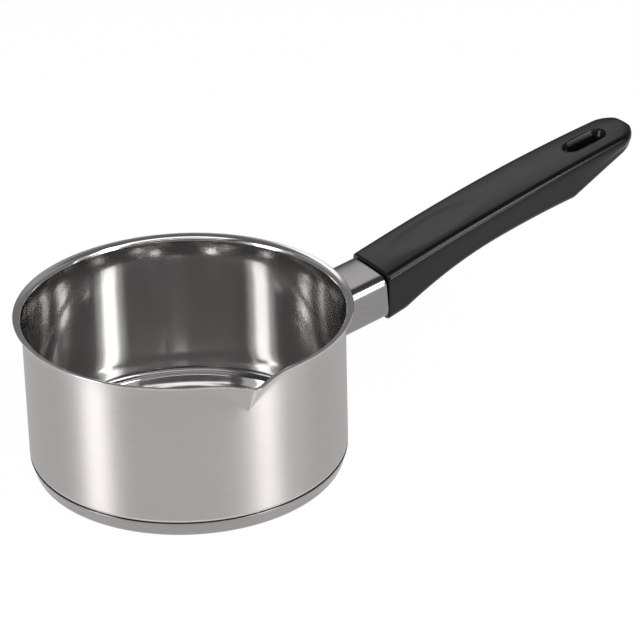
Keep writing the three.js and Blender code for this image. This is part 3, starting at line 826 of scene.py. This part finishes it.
def pale_floor():
    """A wide white floor: it shows white to the camera and to glossy surfaces, and keeps a faint shadow."""
    turn = np.linspace(0, 2 * math.pi, 96, endpoint=False)
    ring = [(FLOOR_RADIUS * math.cos(a), FLOOR_RADIUS * math.sin(a), FLOOR_LEVEL) for a in turn]
    mesh = bpy.data.meshes.new("floor")
    mesh.from_pydata(ring, [], [list(range(len(ring)))])
    material, tree, shader = new_material("floor_white")
    path = tree.nodes.new("ShaderNodeLightPath")
    seen = math_node(tree, "MAXIMUM", path.outputs["Is Camera Ray"], path.outputs["Is Glossy Ray"])
    seen = math_node(tree, "MAXIMUM", seen, path.outputs["Is Transmission Ray"])
    shader.inputs["Base Color"].default_value = (0.10, 0.10, 0.10, 1)
    shader.inputs["Roughness"].default_value = 1.0
    shader.inputs["Specular IOR Level"].default_value = 0.0
    shader.inputs["Emission Color"].default_value = (1, 1, 1, 1)
    tree.links.new(math_node(tree, "MULTIPLY", seen, FLOOR_WHITE), shader.inputs["Emission Strength"])
    mesh.materials.append(material)
    floor = bpy.data.objects.new("floor", mesh)
    bpy.context.scene.collection.objects.link(floor)


def grey_ramp(tree, value, stops):
    ramp = tree.nodes.new("ShaderNodeValToRGB")
    elements = ramp.color_ramp.elements
    while len(elements) < len(stops):
        elements.new(0.5)
    for element, (place, grey) in zip(elements, stops):
        element.position = place
        element.color = (grey, grey, grey, 1)
    tree.links.new(value, ramp.inputs[0])
    return ramp.outputs[0]


# Greys by the sine of the height: the room on the camera's side, and the backdrop behind the pan
ROOM = [(0.0, 0.55), (0.06, 0.36), (0.16, 0.20), (0.45, 0.14), (0.8, 0.12), (1.0, 0.15)]
BACKDROP = [(0.0, 0.25), (0.14, 0.22), (0.48, 0.22), (0.60, 0.42), (0.70, 0.34), (0.79, 0.15), (1.0, 0.14)]


def studio_world():
    """Dim studio: a backdrop with one paler band behind the pan, and a dark room on the camera's side."""
    world = bpy.data.worlds.new("studio")
    world.use_nodes = True
    tree = world.node_tree
    direction = tree.nodes.new("ShaderNodeTexCoord").outputs["Generated"]
    split = tree.nodes.new("ShaderNodeSeparateXYZ")
    tree.links.new(direction, split.inputs[0])
    towards = tree.nodes.new("ShaderNodeVectorMath")
    towards.operation = "DOT_PRODUCT"
    towards.inputs[1].default_value = facing_to_row(0, 1, 0)
    tree.links.new(direction, towards.inputs[0])
    behind = spread(tree, towards.outputs["Value"], 0.0, 1.0, -0.25, 0.25)
    room = grey_ramp(tree, split.outputs["Z"], ROOM)
    backdrop = grey_ramp(tree, split.outputs["Z"], BACKDROP)
    mixed = tree.nodes.new("ShaderNodeMix")
    mixed.data_type = "RGBA"
    tree.links.new(behind, mixed.inputs[0])
    tree.links.new(room, mixed.inputs[6])
    tree.links.new(backdrop, mixed.inputs[7])
    tree.links.new(mixed.outputs[2], tree.nodes["Background"].inputs["Color"])
    bpy.context.scene.world = world


softbox("softbox_right", 52.0, 11.5, 1.35, 0.32, 0.56, 5.7, 0.0)
softbox("skirt_right", 52.0, 11.5, 1.36, 0.62, 0.56, 0.15, 0.0)
softbox("upper_right", 60.0, 31.0, 1.35, 0.44, 0.34, 2.9)
softbox("upper_skirt_right", 60.0, 31.0, 1.36, 0.95, 0.34, 0.7)
softbox("softbox_left", -63.0, 11.5, 1.35, 0.38, 0.56, 7.6, 0.0)
softbox("skirt_left", -63.0, 11.5, 1.36, 0.75, 0.56, 0.5, 0.0)
softbox("upper_left", -68.0, 31.0, 1.35, 0.46, 0.34, 4.0)
softbox("upper_skirt_left", -68.0, 31.0, 1.36, 1.0, 0.34, 0.7)
softbox("strip_side", 80.0, 11.5, 1.35, 0.03, 0.56, 5.0, 0.0)
softbox("high_right", 57.0, 47.0, 1.35, 0.42, 0.32, 11.0)
softbox("strip_front", 0.0, 40.0, 2.1, 2.2, 0.16, 2.6)
softbox("softbox_back", -171.0, 38.5, 5.0, 1.7, 0.96, 1.15)
softbox("softbox_over", 0.0, 72.0, 1.3, 1.1, 0.5, 1.8)
pale_floor()
studio_world()
bpy.context.scene.view_settings.view_transform = "Standard"
# The polished inside mirrors itself many times over
bpy.context.scene.cycles.glossy_bounces = 10
